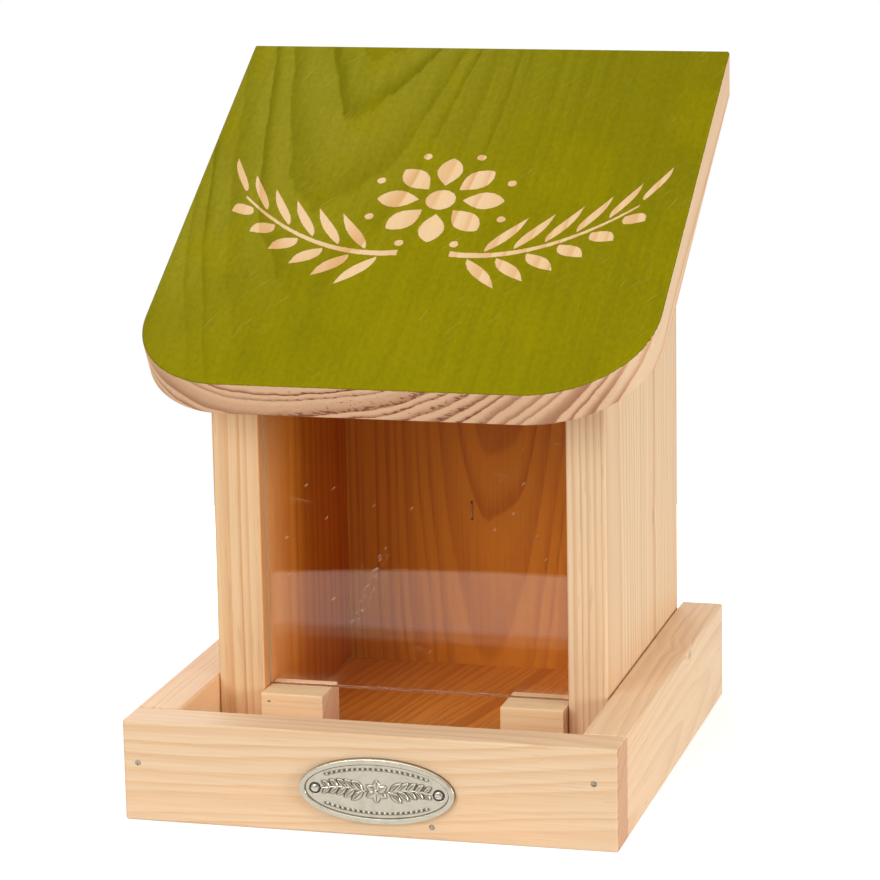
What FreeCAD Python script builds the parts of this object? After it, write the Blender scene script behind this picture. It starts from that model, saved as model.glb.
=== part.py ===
import FreeCAD, Part
import math
import os

from FreeCAD import Vector

# Silo bird feeder in pine: a hopper with a clear front pane in a low tray, under a hinged roof.
# Millimetres, +Z up, -Y towards the front, origin under the middle of the whole object.

# Tray and floor
TRAY_WIDTH = 160.0
TRAY_DEPTH = 174.0
TRAY_HEIGHT = 33.0
TRAY_BOARD = 14.4
FLOOR_THICKNESS = 12.0

# Hopper walls and back, set back from the front of the tray
WALL_SETBACK = 54.0
HOUSE_REAR = 168.0
WALL_LEFT_THICKNESS = 15.8
WALL_RIGHT_THICKNESS = 13.2
WALL_LEFT_GAP = 0.1
WALL_RIGHT_GAP = 0.4
BACK_THICKNESS = 14.4

# Roof board: place of its top front edge, slope, and the gap under it when it is shut
ROOF_WIDTH = 167.4
ROOF_THICKNESS = 13.3
ROOF_SLOPE = 30.6
ROOF_FRONT_SETBACK = 18.8
ROOF_FRONT_HEIGHT = 138.6
ROOF_LEFT_CORNER = 31.0
ROOF_RIGHT_CORNER = 39.0
ROOF_GAP = 0.35

# Clear pane and the two blocks under it
PANE_SETBACK = 59.2
PANE_THICKNESS = 3.0
PANE_HEADROOM = 6.0
PANE_SIDE_GAP = 0.5
PANE_SEAT_GAP = 0.1
GROOVE_WIDTH = 3.6
GROOVE_DEPTH = 5.0
BLOCK_WIDTH = 21.0
BLOCK_DEPTH = 19.0
BLOCK_HEIGHT = 17.4
BLOCK_SETBACK = 48.3
BLOCK_SIDE_GAP = 0.15

# Oval cast plate on the tray front
PLATE_LENGTH = 50.2
PLATE_HEIGHT = 21.2
PLATE_CENTRE_X = 3.5
PLATE_CENTRE_Z = 15.1
PLATE_BASE = 1.2
PLATE_RIM_HEIGHT = 0.7
PLATE_RIM_WIDTH = 1.7
PLATE_PIN_SPACING = 40.0
PLATE_BOSS_RADIUS = 2.3
PLATE_BOSS_HEIGHT = 0.3

# Butt hinges on the rear face
HINGE_OFFSET = 30.0
HINGE_LENGTH = 28.0
HINGE_LEAF_HEIGHT = 12.6
HINGE_LEAF_THICKNESS = 1.2
HINGE_BARREL_RADIUS = 2.4
HINGE_AXIS_BEHIND = 2.75
HINGE_PIN_RADIUS = 1.25
HINGE_PIN_CLEARANCE = 0.05
HINGE_MIDDLE_KNUCKLE = 10.4
HINGE_GAP = 0.3
HINGE_SCREW_SPACING = 18.0
HINGE_SCREW_REACH = 8.2
HINGE_LEAF_CORNER = 2.2
HINGE_PIN_EASE = 0.4

# Nails, pins, screws and the staple
NAIL_RADIUS = 0.75
NAIL_HEAD_RADIUS = 0.95
NAIL_HEAD_THICKNESS = 0.5
NAIL_POINT = 2.5
NAIL_SUNK = 0.15
FASTENER_CLEARANCE = 0.03
HOLE_MOUTH = 1.0
TRAY_NAIL_LENGTH = 34.0
TRAY_NAIL_PLACES = ((-75.2, 19.1), (72.4, 21.7), (20.8, 4.2))
FLOOR_NAIL_LENGTH = 36.0
WALL_NAIL_SETBACKS = (80.0, 140.0)
BACK_NAIL_OFFSET = 27.0
BLOCK_NAIL_LENGTH = 24.0
PLATE_PIN_LENGTH = 12.0
PLATE_PIN_RADIUS = 0.85
PLATE_PIN_HEAD_RADIUS = 1.3
PLATE_PIN_HEAD_HEIGHT = 0.75
PLATE_PIN_DOME = 0.45
PLATE_PIN_SEAT = 0.35
SCREW_RADIUS = 1.3
SCREW_HEAD_RADIUS = 2.5
SCREW_LENGTH = 9.5
SCREW_SLOT_WIDTH = 0.6
SCREW_SLOT_DEPTH = 0.5
STAPLE_WIRE_RADIUS = 0.35
STAPLE_CROWN = 7.0
STAPLE_PROUD = 0.8
STAPLE_LEG = 8.0
STAPLE_X = -4.4
STAPLE_Z = 67.7

# Hole in the back board for a wall screw
HANGING_HOLE_RADIUS = 2.5
HANGING_HOLE_HEIGHT = 165.0

# Eased edges
BOARD_EASE = 0.8
BLOCK_EASE = 0.4
ROOF_EASE = 0.9
PANE_EASE = 0.25
PLATE_EASE = 0.3

# Places worked out from the dimensions above
PLATE_PROUD = PLATE_BASE + PLATE_RIM_HEIGHT
Y_FRONT = (PLATE_PROUD - TRAY_DEPTH) / 2
Y_REAR = Y_FRONT + HOUSE_REAR
SLOPE = math.radians(ROOF_SLOPE)
SIDE_INNER = TRAY_WIDTH / 2 - TRAY_BOARD
LEFT_OUTER = WALL_LEFT_GAP - SIDE_INNER
RIGHT_OUTER = SIDE_INNER - WALL_RIGHT_GAP
LEFT_INNER = LEFT_OUTER + WALL_LEFT_THICKNESS
RIGHT_INNER = RIGHT_OUTER - WALL_RIGHT_THICKNESS
BLOCK_TOP = FLOOR_THICKNESS + BLOCK_HEIGHT
BACK_INNER = Y_REAR - BACK_THICKNESS
SMALL = 0.01


def roof_underside(y):
    """Height of the roof's underside at a distance y along the frame."""
    run = y - Y_FRONT - ROOF_FRONT_SETBACK
    return ROOF_FRONT_HEIGHT + run * math.tan(SLOPE) - ROOF_THICKNESS / math.cos(SLOPE)


def wall_top(y):
    """Height of the wall tops, a small gap below the roof."""
    return roof_underside(y) - ROOF_GAP / math.cos(SLOPE)


HINGE_AXIS = Vector(0, Y_REAR + HINGE_AXIS_BEHIND, (roof_underside(Y_REAR) + wall_top(Y_REAR)) / 2)


def box(x0, x1, y0, y1, z0, z1):
    """A box between two corners."""
    return Part.makeBox(x1 - x0, y1 - y0, z1 - z0, Vector(x0, y0, z0))


def eased(shape, radius):
    """The shape with all its edges rounded."""
    return shape.makeFillet(radius, shape.Edges)


def side_prism(points, x0, x1):
    """A prism from an outline of (y, z) points, between two places along X."""
    corners = [Vector(x0, y, z) for y, z in points]
    outline = Part.makePolygon(corners + corners[:1])
    return Part.Face(outline).extrude(Vector(x1 - x0, 0, 0))


def turned(profile, base, direction):
    """A solid of revolution from (radius, distance) points, about a line from base."""
    corners = [Vector(radius, 0, distance) for radius, distance in profile]
    face = Part.Face(Part.makePolygon(corners + corners[:1]))
    solid = face.revolve(Vector(0, 0, 0), Vector(0, 0, 1), 360)
    solid.Placement = FreeCAD.Placement(base, FreeCAD.Rotation(Vector(0, 0, 1), direction))
    return solid


def nail(base, direction, length, extra=0.0):
    """A nail whose head's face is at base, or the hole for it if extra is its clearance."""
    shank = NAIL_RADIUS + extra
    head = NAIL_HEAD_RADIUS + extra
    neck = NAIL_HEAD_THICKNESS + extra
    mouth = -NAIL_SUNK - HOLE_MOUTH if extra else 0.0
    profile = ((0, mouth), (head, mouth), (head, neck), (shank, neck),
               (shank, length - NAIL_POINT), (0, length + extra))
    return turned(profile, base, direction)


def screw(base, direction, extra=0.0):
    """A countersunk screw whose head's face is at base, or the hole for it."""
    shank = SCREW_RADIUS + extra
    head = SCREW_HEAD_RADIUS + extra
    cone = head - shank
    mouth = -HOLE_MOUTH if extra else 0.0
    profile = ((0, mouth), (head, mouth), (head, 0), (shank, cone),
               (shank, SCREW_LENGTH - 2 * SCREW_RADIUS), (0, SCREW_LENGTH + extra))
    return turned(profile, base, direction)


def plate_pin(base, direction):
    """A pin with a domed head whose top is at base."""
    head = PLATE_PIN_HEAD_RADIUS
    dome = PLATE_PIN_DOME
    sphere = (head * head + dome * dome) / (2 * dome)
    middle = sphere - math.sqrt(sphere * sphere - head * head / 4)
    cap = Part.Arc(Vector(0, 0, 0), Vector(head / 2, 0, middle), Vector(head, 0, dome)).toShape()
    points = ((head, dome), (head, PLATE_PIN_HEAD_HEIGHT), (PLATE_PIN_RADIUS, PLATE_PIN_HEAD_HEIGHT),
              (PLATE_PIN_RADIUS, PLATE_PIN_LENGTH - NAIL_POINT), (0, PLATE_PIN_LENGTH), (0, 0))
    sides = Part.makePolygon([Vector(radius, 0, distance) for radius, distance in points])
    solid = Part.Face(Part.Wire([cap] + sides.Edges)).revolve(Vector(0, 0, 0), Vector(0, 0, 1), 360)
    solid.Placement = FreeCAD.Placement(base, FreeCAD.Rotation(Vector(0, 0, 1), direction))
    return solid


def plate_pin_hole(base, direction):
    """The hole for a pin: a wide seat for its head, then a close hole for its shank."""
    seat = PLATE_PIN_HEAD_RADIUS + PLATE_PIN_SEAT
    floor = PLATE_PIN_HEAD_HEIGHT + FASTENER_CLEARANCE
    shank = PLATE_PIN_RADIUS + FASTENER_CLEARANCE
    profile = ((0, -HOLE_MOUTH), (seat, -HOLE_MOUTH), (seat, floor), (shank, floor),
               (shank, PLATE_PIN_LENGTH - NAIL_POINT), (0, PLATE_PIN_LENGTH + FASTENER_CLEARANCE))
    return turned(profile, base, direction)


def drilled(shape, holes):
    """The shape with a list of holes cut in it."""
    for hole in holes:
        shape = shape.cut(hole)
    return shape


# Places of the fasteners, each (point, direction)
def tray_nail_places():
    back = Vector(0, 1, 0)
    return [(Vector(x, Y_FRONT + NAIL_SUNK, z), back) for x, z in TRAY_NAIL_PLACES]


def floor_nail_places():
    up = Vector(0, 0, 1)
    left = (LEFT_INNER + LEFT_OUTER) / 2
    right = (RIGHT_INNER + RIGHT_OUTER) / 2
    spots = [(x, Y_FRONT + y) for x in (left, right) for y in WALL_NAIL_SETBACKS]
    middle = (LEFT_INNER + RIGHT_INNER) / 2
    spots += [(middle + side * BACK_NAIL_OFFSET, Y_REAR - BACK_THICKNESS / 2) for side in (-1, 1)]
    return [(Vector(x, y, NAIL_SUNK), up) for x, y in spots]


def block_nail_places():
    up = Vector(0, 0, 1)
    y = Y_FRONT + BLOCK_SETBACK + BLOCK_DEPTH / 2
    inner = BLOCK_WIDTH / 2 + BLOCK_SIDE_GAP
    return [(Vector(x, y, NAIL_SUNK), up) for x in (LEFT_INNER + inner, RIGHT_INNER - inner)]


def plate_pin_places():
    y = Y_FRONT - PLATE_PROUD
    xs = [PLATE_CENTRE_X + side * PLATE_PIN_SPACING / 2 for side in (-1, 1)]
    return [(Vector(x, y, PLATE_CENTRE_Z), Vector(0, 1, 0)) for x in xs]


def hinge_screw_places(side, up):
    """Screws of one leaf: side is -1 or 1 along X, up is 1 on the roof and -1 on the back."""
    z = HINGE_AXIS.z + up * HINGE_SCREW_REACH
    y = Y_REAR + HINGE_LEAF_THICKNESS
    xs = [side * HINGE_OFFSET + step * HINGE_SCREW_SPACING / 2 for step in (-1, 1)]
    return [(Vector(x, y, z), Vector(0, -1, 0)) for x in xs]


def both_leaves(up):
    return hinge_screw_places(-1, up) + hinge_screw_places(1, up)


def nails(places, length):
    return Part.makeCompound([nail(point, way, length) for point, way in places])


def nail_holes(places, length):
    return [nail(point, way, length, FASTENER_CLEARANCE) for point, way in places]


def screw_holes(places):
    return [screw(point, way, FASTENER_CLEARANCE) for point, way in places]


def plate_pins():
    return Part.makeCompound([plate_pin(point, way) for point, way in plate_pin_places()])


def plate_pin_holes():
    return [plate_pin_hole(point, way) for point, way in plate_pin_places()]


# Tray and floor
def tray_front():
    board = box(-TRAY_WIDTH / 2, TRAY_WIDTH / 2, Y_FRONT, Y_FRONT + TRAY_BOARD, 0, TRAY_HEIGHT)
    holes = nail_holes(tray_nail_places(), TRAY_NAIL_LENGTH)
    return drilled(eased(board, BOARD_EASE), holes + plate_pin_holes())


def tray_side(side):
    x0, x1 = sorted((side * SIDE_INNER, side * TRAY_WIDTH / 2))
    board = box(x0, x1, Y_FRONT + TRAY_BOARD, Y_FRONT + TRAY_DEPTH, 0, TRAY_HEIGHT)
    return drilled(eased(board, BOARD_EASE), nail_holes(tray_nail_places(), TRAY_NAIL_LENGTH))


def floor_board():
    board = box(-SIDE_INNER, SIDE_INNER, Y_FRONT + TRAY_BOARD, Y_REAR, 0, FLOOR_THICKNESS)
    holes = nail_holes(tray_nail_places(), TRAY_NAIL_LENGTH)
    holes += nail_holes(floor_nail_places(), FLOOR_NAIL_LENGTH)
    holes += nail_holes(block_nail_places(), BLOCK_NAIL_LENGTH)
    return drilled(board, holes)


# Hopper
def wall(outer, inner):
    """An upright wall with its pane groove, between its outer and inner faces."""
    front = Y_FRONT + WALL_SETBACK
    outline = ((front, FLOOR_THICKNESS), (Y_REAR, FLOOR_THICKNESS),
               (Y_REAR, wall_top(Y_REAR)), (front, wall_top(front)))
    x0, x1 = sorted((outer, inner))
    board = eased(side_prism(outline, x0, x1), BOARD_EASE)
    outwards = math.copysign(1, outer - inner)
    g0, g1 = sorted((inner + outwards * GROOVE_DEPTH, inner - outwards))
    groove_middle = Y_FRONT + PANE_SETBACK + PANE_THICKNESS / 2
    groove = box(g0, g1, groove_middle - GROOVE_WIDTH / 2, groove_middle + GROOVE_WIDTH / 2,
                 FLOOR_THICKNESS, wall_top(Y_REAR))
    return drilled(board.cut(groove), nail_holes(floor_nail_places(), FLOOR_NAIL_LENGTH))


def back_board():
    outline = ((BACK_INNER, FLOOR_THICKNESS), (Y_REAR, FLOOR_THICKNESS),
               (Y_REAR, wall_top(Y_REAR)), (BACK_INNER, wall_top(BACK_INNER)))
    board = side_prism(outline, LEFT_INNER, RIGHT_INNER)
    hanging = Part.makeCylinder(HANGING_HOLE_RADIUS, BACK_THICKNESS,
                                Vector(0, BACK_INNER, HANGING_HOLE_HEIGHT), Vector(0, 1, 0))
    holes = [hanging, staple(FASTENER_CLEARANCE)]
    holes += nail_holes(floor_nail_places(), FLOOR_NAIL_LENGTH)
    holes += screw_holes(both_leaves(-1))
    return drilled(board, holes)


def pane_block(x0):
    """A block under one end of the pane, from x0 inwards along +X."""
    front = Y_FRONT + BLOCK_SETBACK
    block = box(x0, x0 + BLOCK_WIDTH, front, front + BLOCK_DEPTH, FLOOR_THICKNESS, BLOCK_TOP)
    return drilled(eased(block, BLOCK_EASE), nail_holes(block_nail_places(), BLOCK_NAIL_LENGTH))


def pane():
    reach = GROOVE_DEPTH - PANE_SIDE_GAP
    front = Y_FRONT + PANE_SETBACK
    top = roof_underside(front) - PANE_HEADROOM
    sheet = box(LEFT_INNER - reach, RIGHT_INNER + reach, front, front + PANE_THICKNESS,
                BLOCK_TOP + PANE_SEAT_GAP, top)
    return eased(sheet, PANE_EASE)


def staple(extra=0.0):
    """A wire staple across the back board's inner face, or the hole for it."""
    proud = BACK_INNER - STAPLE_PROUD + STAPLE_WIRE_RADIUS
    deep = BACK_INNER + STAPLE_LEG
    bend = 2 * STAPLE_WIRE_RADIUS
    low = STAPLE_Z - STAPLE_CROWN / 2 + STAPLE_WIRE_RADIUS
    high = STAPLE_Z + STAPLE_CROWN / 2 - STAPLE_WIRE_RADIUS
    half = bend * (1 - math.sqrt(0.5))

    def spot(y, z):
        return Vector(STAPLE_X, y, z)

    path = Part.Wire([
        Part.LineSegment(spot(deep, low), spot(proud + bend, low)).toShape(),
        Part.Arc(spot(proud + bend, low), spot(proud + half, low + half), spot(proud, low + bend)).toShape(),
        Part.LineSegment(spot(proud, low + bend), spot(proud, high - bend)).toShape(),
        Part.Arc(spot(proud, high - bend), spot(proud + half, high - half), spot(proud + bend, high)).toShape(),
        Part.LineSegment(spot(proud + bend, high), spot(deep, high)).toShape(),
    ])
    ring = Part.Wire(Part.makeCircle(STAPLE_WIRE_RADIUS + extra, spot(deep, low), Vector(0, 1, 0)))
    return path.makePipeShell([ring], True, False)


# Roof
def roof_board():
    """The sloping board: rounded front corners, square front edge, rear end cut plumb."""
    half = ROOF_WIDTH / 2
    left = ROOF_LEFT_CORNER
    right = ROOF_RIGHT_CORNER
    length = (HOUSE_REAR - ROOF_FRONT_SETBACK) / math.cos(SLOPE) + ROOF_THICKNESS
    in_left, in_right = [radius * (1 - math.sqrt(0.5)) for radius in (left, right)]
    sides = [
        Part.LineSegment(Vector(-half + left, 0, 0), Vector(half - right, 0, 0)),
        Part.Arc(Vector(half - right, 0, 0), Vector(half - in_right, in_right, 0), Vector(half, right, 0)),
        Part.LineSegment(Vector(half, right, 0), Vector(half, length, 0)),
        Part.LineSegment(Vector(half, length, 0), Vector(-half, length, 0)),
        Part.LineSegment(Vector(-half, length, 0), Vector(-half, left, 0)),
        Part.Arc(Vector(-half, left, 0), Vector(-half + in_left, in_left, 0), Vector(-half + left, 0, 0)),
    ]
    outline = Part.Wire([side.toShape() for side in sides])
    board = Part.Face(outline).extrude(Vector(0, 0, -ROOF_THICKNESS))
    flat_edges = [edge for edge in board.Edges if abs(edge.BoundBox.ZLength) < SMALL]
    board = board.makeFillet(ROOF_EASE, flat_edges)
    board.rotate(Vector(0, 0, 0), Vector(1, 0, 0), ROOF_SLOPE)
    board.translate(Vector(0, Y_FRONT + ROOF_FRONT_SETBACK, ROOF_FRONT_HEIGHT))
    behind = box(-ROOF_WIDTH, ROOF_WIDTH, Y_REAR, Y_REAR + TRAY_DEPTH, 0, 2 * TRAY_DEPTH)
    return drilled(board.cut(behind), screw_holes(both_leaves(1)))


# Hinges
def barrel(x0, x1):
    """One knuckle with its pin hole, along X."""
    base = Vector(x0, HINGE_AXIS.y, HINGE_AXIS.z)
    along = Vector(1, 0, 0)
    outside = Part.makeCylinder(HINGE_BARREL_RADIUS, x1 - x0, base, along)
    hole = Part.makeCylinder(HINGE_PIN_RADIUS + HINGE_PIN_CLEARANCE, x1 - x0, base, along)
    return outside.cut(hole)


def knuckle_spans(side, up):
    """The stretches of X with this leaf's knuckles: the middle on the roof, the ends on the back."""
    centre = side * HINGE_OFFSET
    half = HINGE_LENGTH / 2
    middle = HINGE_MIDDLE_KNUCKLE / 2
    if up > 0:
        return [(centre - middle, centre + middle)]
    return [(centre - half, centre - middle - HINGE_GAP), (centre + middle + HINGE_GAP, centre + half)]


def hinge_leaf(side, up):
    """One leaf with its knuckles: up is 1 for the roof's leaf and -1 for the back's."""
    centre = side * HINGE_OFFSET
    half = HINGE_LENGTH / 2
    near = HINGE_BARREL_RADIUS + HINGE_GAP
    outside = Y_REAR + HINGE_LEAF_THICKNESS
    far = HINGE_AXIS.z + up * HINGE_LEAF_HEIGHT
    z0, z1 = sorted((HINGE_AXIS.z + up * near, far))
    leaf = box(centre - half, centre + half, Y_REAR, outside, z0, z1)
    through = [edge for edge in leaf.Edges if edge.BoundBox.YLength > HINGE_LEAF_THICKNESS - SMALL]
    corners = [edge for edge in through if abs(edge.CenterOfMass.z - far) < SMALL]
    leaf = leaf.makeFillet(HINGE_LEAF_CORNER, corners)
    for x0, x1 in knuckle_spans(side, up):
        t0, t1 = sorted((HINGE_AXIS.z, HINGE_AXIS.z + up * near))
        leaf = leaf.fuse(box(x0, x1, Y_REAR, outside, t0, t1)).fuse(barrel(x0, x1))
    return drilled(leaf.removeSplitter(), screw_holes(hinge_screw_places(side, up)))


def hinge_pin(side):
    base = Vector(side * HINGE_OFFSET - HINGE_LENGTH / 2, HINGE_AXIS.y, HINGE_AXIS.z)
    pin = Part.makeCylinder(HINGE_PIN_RADIUS, HINGE_LENGTH, base, Vector(1, 0, 0))
    return pin.makeFillet(HINGE_PIN_EASE, [edge for edge in pin.Edges if edge.isClosed()])


def hinge_screws(up):
    """The screws of both leaves, each with a slot in its head."""
    solids = []
    for point, way in both_leaves(up):
        slot = box(point.x - SCREW_HEAD_RADIUS, point.x + SCREW_HEAD_RADIUS, point.y - SCREW_SLOT_DEPTH,
                   point.y + HOLE_MOUTH, point.z - SCREW_SLOT_WIDTH / 2, point.z + SCREW_SLOT_WIDTH / 2)
        solids.append(screw(point, way).cut(slot))
    return Part.makeCompound(solids)


# Oval plate
def oval(inset, y0, depth):
    """An elliptic slab, its edge drawn in by inset, from y0 forwards."""
    ellipse = Part.Ellipse(Vector(0, 0, 0), PLATE_LENGTH / 2 - inset, PLATE_HEIGHT / 2 - inset)
    slab = Part.Face(Part.Wire(ellipse.toShape())).extrude(Vector(0, 0, depth))
    slab.rotate(Vector(0, 0, 0), Vector(1, 0, 0), 90)
    slab.translate(Vector(PLATE_CENTRE_X, y0, PLATE_CENTRE_Z))
    return slab


def oval_plate():
    """A cast plate: raised rim, flat field, a low boss round each pin."""
    plate = oval(0, Y_FRONT, PLATE_PROUD)
    plate = plate.cut(oval(PLATE_RIM_WIDTH, Y_FRONT - PLATE_BASE, PLATE_PROUD))
    front_edges = [edge for edge in plate.Edges if edge.BoundBox.YMax < Y_FRONT - PLATE_BASE - SMALL]
    plate = plate.makeChamfer(PLATE_EASE, front_edges)
    for point, way in plate_pin_places():
        base = Vector(point.x, Y_FRONT - PLATE_BASE - PLATE_BOSS_HEIGHT, point.z)
        plate = plate.fuse(Part.makeCylinder(PLATE_BOSS_RADIUS, PLATE_BASE, base, way))
    return drilled(plate.removeSplitter(), plate_pin_holes())


def build():
    """Every node's name and shape."""
    inner_block = RIGHT_INNER - BLOCK_SIDE_GAP - BLOCK_WIDTH
    nodes = {
        "floor_board": floor_board(),
        "tray_front": tray_front(),
        "tray_side_left": tray_side(-1),
        "tray_side_right": tray_side(1),
        "wall_left": wall(LEFT_OUTER, LEFT_INNER),
        "wall_right": wall(RIGHT_OUTER, RIGHT_INNER),
        "back_board": back_board(),
        "pane_block_left": pane_block(LEFT_INNER + BLOCK_SIDE_GAP),
        "pane_block_right": pane_block(inner_block),
        "pane": pane(),
        "roof_board": roof_board(),
        "oval_plate": oval_plate(),
        "plate_pins": plate_pins(),
        "tray_nails": nails(tray_nail_places(), TRAY_NAIL_LENGTH),
        "floor_nails": nails(floor_nail_places(), FLOOR_NAIL_LENGTH),
        "block_nails": nails(block_nail_places(), BLOCK_NAIL_LENGTH),
        "back_staple": staple(),
        "hinge_screws_roof": hinge_screws(1),
        "hinge_screws_back": hinge_screws(-1),
    }
    for name, side in (("left", -1), ("right", 1)):
        nodes["hinge_leaf_roof_" + name] = hinge_leaf(side, 1)
        nodes["hinge_leaf_back_" + name] = hinge_leaf(side, -1)
        nodes["hinge_pin_" + name] = hinge_pin(side)
    return nodes


def main():
    os.makedirs("parts", exist_ok=True)
    for name, shape in build().items():
        shape.exportStep("parts/" + name + ".step")
        extent = shape.BoundBox
        print(name, "solids", len(shape.Solids), "valid", shape.isValid(), "volume", round(shape.Volume, 1),
              "x", round(extent.XMin, 2), round(extent.XMax, 2), "y", round(extent.YMin, 2),
              round(extent.YMax, 2), "z", round(extent.ZMin, 2), round(extent.ZMax, 2))
    print("hinge axis", tuple(round(value, 3) for value in HINGE_AXIS))


main()
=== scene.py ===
import math

import bpy
import numpy as np
from mathutils import Matrix, Vector


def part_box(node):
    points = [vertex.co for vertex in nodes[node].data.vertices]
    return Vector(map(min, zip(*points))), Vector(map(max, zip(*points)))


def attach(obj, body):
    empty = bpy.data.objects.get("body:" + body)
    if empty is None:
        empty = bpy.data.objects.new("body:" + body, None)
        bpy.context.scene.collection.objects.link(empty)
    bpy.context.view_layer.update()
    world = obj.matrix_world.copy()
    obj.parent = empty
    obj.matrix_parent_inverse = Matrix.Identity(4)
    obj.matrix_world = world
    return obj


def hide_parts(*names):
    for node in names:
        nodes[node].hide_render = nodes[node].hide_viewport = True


# Silo bird feeder: a pine hopper with a clear pane, in a low tray under a hinged, painted roof.
# Metres, +Z up, the front towards -Y. Lengths in the dictionaries are in mm unless they say otherwise.

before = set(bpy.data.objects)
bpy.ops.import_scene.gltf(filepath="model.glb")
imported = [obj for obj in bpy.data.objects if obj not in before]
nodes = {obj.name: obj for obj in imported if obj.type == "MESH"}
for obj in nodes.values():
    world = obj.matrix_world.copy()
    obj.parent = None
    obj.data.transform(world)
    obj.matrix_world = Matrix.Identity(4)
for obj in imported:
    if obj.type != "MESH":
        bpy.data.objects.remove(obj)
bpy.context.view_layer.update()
mm = 0.001
print("frame loaded:", len(nodes), "nodes")


def srgb(red, green, blue):
    # a screen colour of 0 to 255 as linear light
    part = np.array((red, green, blue)) / 255
    linear = np.where(part <= 0.04045, part / 12.92, ((part + 0.055) / 1.055) ** 2.4)
    return (*linear.tolist(), 1.0)


# Shader maths: a Sock is one output, sums on it add Math nodes, and a Finish adds every other node

class Sock:
    def __init__(self, finish, out):
        self.finish = finish
        self.out = out

    def calc(self, operation, first, second=0.0):
        return self.finish.node("Math", {"operation": operation}, {0: first, 1: second})

    def use(self, operation, other=0.0):
        return self.calc(operation, self, other)

    def __add__(self, other):
        return self.calc("ADD", self, other)

    def __radd__(self, other):
        return self.calc("ADD", other, self)

    def __sub__(self, other):
        return self.calc("SUBTRACT", self, other)

    def __rsub__(self, other):
        return self.calc("SUBTRACT", other, self)

    def __mul__(self, other):
        return self.calc("MULTIPLY", self, other)

    def __rmul__(self, other):
        return self.calc("MULTIPLY", other, self)

    def __truediv__(self, other):
        return self.calc("DIVIDE", self, other)

    def __rtruediv__(self, other):
        return self.calc("DIVIDE", other, self)

    def __pow__(self, other):
        return self.calc("POWER", self, other)

    def __abs__(self):
        return self.use("ABSOLUTE")


class Finish:
    def __init__(self, owner):
        owner.use_nodes = True
        self.owner = owner
        self.tree = owner.node_tree
        self.tree.nodes.clear()

    def node(self, kind, settings, sockets, out=0):
        made = self.tree.nodes.new("ShaderNode" + kind)
        for key, value in settings.items():
            setattr(made, key, value)
        for key, value in sockets.items():
            if isinstance(value, Sock):
                self.tree.links.new(value.out, made.inputs[key])
            else:
                made.inputs[key].default_value = value
        return Sock(self, made.outputs[out]) if made.outputs else None

    def coordinate(self, kind):
        return self.node("TexCoord", {}, {}, kind)

    def rayKind(self, kind):
        return self.node("LightPath", {}, {}, kind)

    def split(self, vector):
        parts = self.node("SeparateXYZ", {}, {0: vector})
        return [Sock(self, out) for out in parts.out.node.outputs]

    def join(self, x, y, z):
        return self.node("CombineXYZ", {}, {0: x, 1: y, 2: z})

    def scaled(self, point, scale, shift=(0, 0, 0)):
        return self.node("VectorMath", {"operation": "MULTIPLY_ADD"}, {0: point, 1: scale, 2: shift})

    def dot(self, vector, way):
        return self.node("VectorMath", {"operation": "DOT_PRODUCT"}, {0: vector, 1: way}, 1)

    def noise(self, point, scale=1.0, detail=2.0):
        return self.node("TexNoise", {}, {"Vector": point, "Scale": scale, "Detail": detail})

    def cells(self, point, scale):  # distance from the nearest of many scattered points, in the plane
        return self.node("TexVoronoi", {"voronoi_dimensions": "2D"}, {"Vector": point, "Scale": scale})

    def step(self, value, low, high):  # 0 below low, 1 above high, eased between them
        settings = {"interpolation_type": "SMOOTHSTEP"}
        return self.node("MapRange", settings, {"Value": value, "From Min": low, "From Max": high})

    def blend(self, share, first, second, how="MIX"):
        settings = {"data_type": "RGBA", "blend_type": how}
        return self.node("Mix", settings, {0: share, 6: first, 7: second}, 2)

    def shaded(self, colour, shade):  # a colour times a number
        return self.blend(1.0, colour, self.join(shade, shade, shade), "MULTIPLY")

    def bump(self, height, depth, strength):
        return self.node("Bump", {}, {"Strength": strength, "Distance": depth * mm, "Height": height})

    def surface(self, sockets):
        shader = self.node("BsdfPrincipled", {}, sockets)
        self.node("OutputMaterial", {}, {"Surface": shader})
        return self.owner


def material(name):
    return Finish(bpy.data.materials.new(name))


def dress(name, finish):
    for slot in nodes[name].material_slots:
        slot.material = finish


# Pine. Rings lie round a pith line that runs along the grain: ring number = distance from the pith / ring
# width, with slow bends and uneven widths. Each ring goes from pale early wood to a brown late edge.

pineLook = {
    # how quickly each pattern changes, twice across the grain and once along it, per metre
    "bend": (24, 24, 7),          # slow bends of the trunk
    "ripple": (110, 110, 15),     # small waves along a ring
    "ragged": (420, 420, 90),     # rough edge of a ring
    "fibre": (1500, 1500, 26),
    "tone": (38, 38, 6),
    "dash": (1700, 1700, 95),     # short brown lines
    "pore": (1500, 1500, 40),
    "torn": (420, 1100, 60),      # ragged spots on sawn ends, longer along the rings
    # between which levels a pattern shows, and how strongly
    "rippleShare": 0.16,
    "widthScale": 0.37, "widthSpread": 2.2,                  # uneven ring widths, in rings
    "lateRise": (0.15, 0.9), "lateFall": (0.9, 1.0), "lateWeakest": 0.55,
    "toneRange": (0.4, 0.75), "toneShare": 0.35,
    "dashRange": (0.73, 0.8), "dashShare": 0.16, "dashColour": srgb(176, 112, 62),
    "fibreShade": 0.22,
    "poreRange": (0.58, 0.75), "poreShare": 0.25,
    "tornRange": (0.68, 0.76), "tornLate": 0.32, "tornTo": (24, 42),  # fades out this far from the middle
    "endFacing": (0.45, 0.85),
    "knotLong": 0.6, "knotReach": 0.3, "knotPush": 0.7, "knotEdge": (0.2, 1.0),
    "innerFacing": (0.5, 0.9), "innerEdge": 2.0, "innerFibre": 0.7,
    "roughness": 0.6, "lateGloss": 0.1, "specular": 0.2, "bumpDepth": 0.18, "bumpStrength": 0.5,
}


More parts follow.
